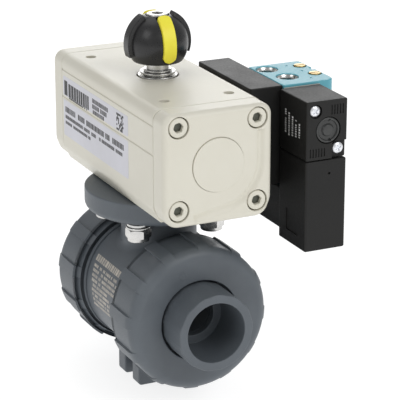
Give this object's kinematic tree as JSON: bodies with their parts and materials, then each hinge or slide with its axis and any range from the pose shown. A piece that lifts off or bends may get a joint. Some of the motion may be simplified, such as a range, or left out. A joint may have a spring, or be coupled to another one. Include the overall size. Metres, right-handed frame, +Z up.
{
  "type": "pneumatically actuated true-union ball valve",
  "caption": "Plastic true-union ball valve with socket ends, a rack-and-pinion pneumatic actuator with a ball-shaped position indicator, and a solenoid pilot valve on its side.",
  "frame": {"origin": "the foot's flat underside, on the stem axis", "axes": "+Z up along the stem, Y along the pipe with the front socket at -Y, +X towards the pilot valve"},
  "size_m": [0.0998, 0.1268, 0.1697],
  "materials": {
    "pvc_grey": "dark grey moulded PVC, satin",
    "cream_paint": "cream epoxy paint over aluminium, satin with a fine orange peel",
    "painted_steel": "cream painted steel screw heads",
    "black_plastic": "black moulded plastic, fine texture",
    "yellow_plastic": "bright yellow plastic",
    "steel": "stainless steel",
    "brass": "turned brass",
    "blue_paint": "pale blue enamel over cast aluminium",
    "black_rubber": "black rubber",
    "white_ptfe": "white PTFE",
    "bush_plastic": "natural bearing plastic",
    "cast_aluminium": "cast and machined aluminium",
    "gasket": "fibre and rubber gasket sheet"
  },
  "bodies": {
    "valve_assembly": {"actuator_body": "cream_paint", "coil_housing": "black_plastic", "flange_bolt_1": "steel", "flange_bolt_2": "steel", "flange_bolt_3": "steel", "flange_bolt_4": "steel", "flange_washer_1": "steel", "flange_washer_2": "steel", "flange_washer_3": "steel", "flange_washer_4": "steel", "front_ball_seat": "white_ptfe", "front_cap_screw_1": "painted_steel", "front_cap_screw_2": "painted_steel", "front_cap_screw_3": "painted_steel", "front_cap_screw_4": "painted_steel", "front_cap_seal": "black_rubber", "front_end_cap": "cream_paint", "front_end_connector": "pvc_grey", "front_face_oring": "black_rubber", "head_gasket": "gasket", "interface_plate": "black_plastic", "lower_pinion_bush": "bush_plastic", "pilot_block": "blue_paint", "pilot_head": "black_plastic", "pilot_screw_1": "steel", "pilot_screw_2": "steel", "rear_ball_seat": "white_ptfe", "rear_cap_screw_1": "painted_steel", "rear_cap_screw_2": "painted_steel", "rear_cap_screw_3": "painted_steel", "rear_cap_screw_4": "painted_steel", "rear_cap_seal": "black_rubber", "rear_end_cap": "cream_paint", "rear_end_connector": "pvc_grey", "rear_face_oring": "black_rubber", "seal_carrier": "pvc_grey", "spool_spring": "steel", "thrust_washer": "steel", "upper_pinion_bush": "bush_plastic", "valve_body": "pvc_grey"},
    "drive": {"ball": "pvc_grey", "stem": "pvc_grey", "stem_oring": "black_rubber", "pinion": "steel", "spindle_circlip": "steel", "indicator_knob": "black_plastic", "front_indicator_strip": "yellow_plastic", "rear_indicator_strip": "yellow_plastic", "indicator_screw": "steel"},
    "front_piston_set": {"front_piston": "cast_aluminium", "front_piston_ring": "black_rubber"},
    "rear_piston_set": {"rear_piston": "cast_aluminium", "rear_piston_ring": "black_rubber"},
    "front_nut": {"front_union_nut": "pvc_grey"},
    "rear_nut": {"rear_union_nut": "pvc_grey"},
    "spool_set": {"spool": "cast_aluminium"},
    "button": {"override_button": "black_plastic"},
    "plunger": {"solenoid_plunger": "steel"},
    "flow_needle_1": {"flow_screw_1": "brass"},
    "flow_needle_2": {"flow_screw_2": "brass"}
  },
  "joints": [
    {"name": "valve_stroke", "type": "hinge", "parent": "valve_assembly", "child": "drive", "pos_m": [0, 0, 0.1171], "axis": [0, 0, -1], "range_deg": [0, 90]},
    {"name": "front_piston_slide", "type": "slide", "parent": "valve_assembly", "child": "front_piston_set", "axis": [0, 1, 0], "range_m": [0, 0.0142]},
    {"name": "rear_piston_slide", "type": "slide", "parent": "valve_assembly", "child": "rear_piston_set", "axis": [0, -1, 0], "range_m": [0, 0.0142]},
    {"name": "front_nut_turn", "type": "hinge", "parent": "valve_assembly", "child": "front_nut", "pos_m": [0, -0.0318, 0.041], "axis": [0, -1, 0], "range_deg": [0, 900]},
    {"name": "rear_nut_turn", "type": "hinge", "parent": "valve_assembly", "child": "rear_nut", "pos_m": [0, 0.0318, 0.041], "axis": [0, 1, 0], "range_deg": [0, 900]},
    {"name": "spool_slide", "type": "slide", "parent": "valve_assembly", "child": "spool_set", "axis": [0, 1, 0], "range_m": [0, 0.004], "stiffness_N_per_m": 400, "springref_m": -0.003, "deforming": ["spool_spring"]},
    {"name": "button_press", "type": "slide", "parent": "valve_assembly", "child": "button", "axis": [0, 1, 0], "range_m": [0, 0.0015], "stiffness_N_per_m": 600, "springref_m": -0.002},
    {"name": "plunger_slide", "type": "slide", "parent": "valve_assembly", "child": "plunger", "axis": [0, 0, -1], "range_m": [0, 0.001], "stiffness_N_per_m": 500, "springref_m": -0.002},
    {"name": "flow_needle_1_turn", "type": "hinge", "parent": "valve_assembly", "child": "flow_needle_1", "pos_m": [0.063, -0.0138, 0.137], "axis": [0, 0, 1], "range_deg": [-720, 720]},
    {"name": "flow_needle_2_turn", "type": "hinge", "parent": "valve_assembly", "child": "flow_needle_2", "pos_m": [0.063, -0.0279, 0.137], "axis": [0, 0, 1], "range_deg": [-720, 720]}
  ],
  "couplings": [
    {"joint": "front_piston_slide", "follows": "valve_stroke", "m_per_rad": 0.009},
    {"joint": "rear_piston_slide", "follows": "valve_stroke", "m_per_rad": 0.009}
  ]
}
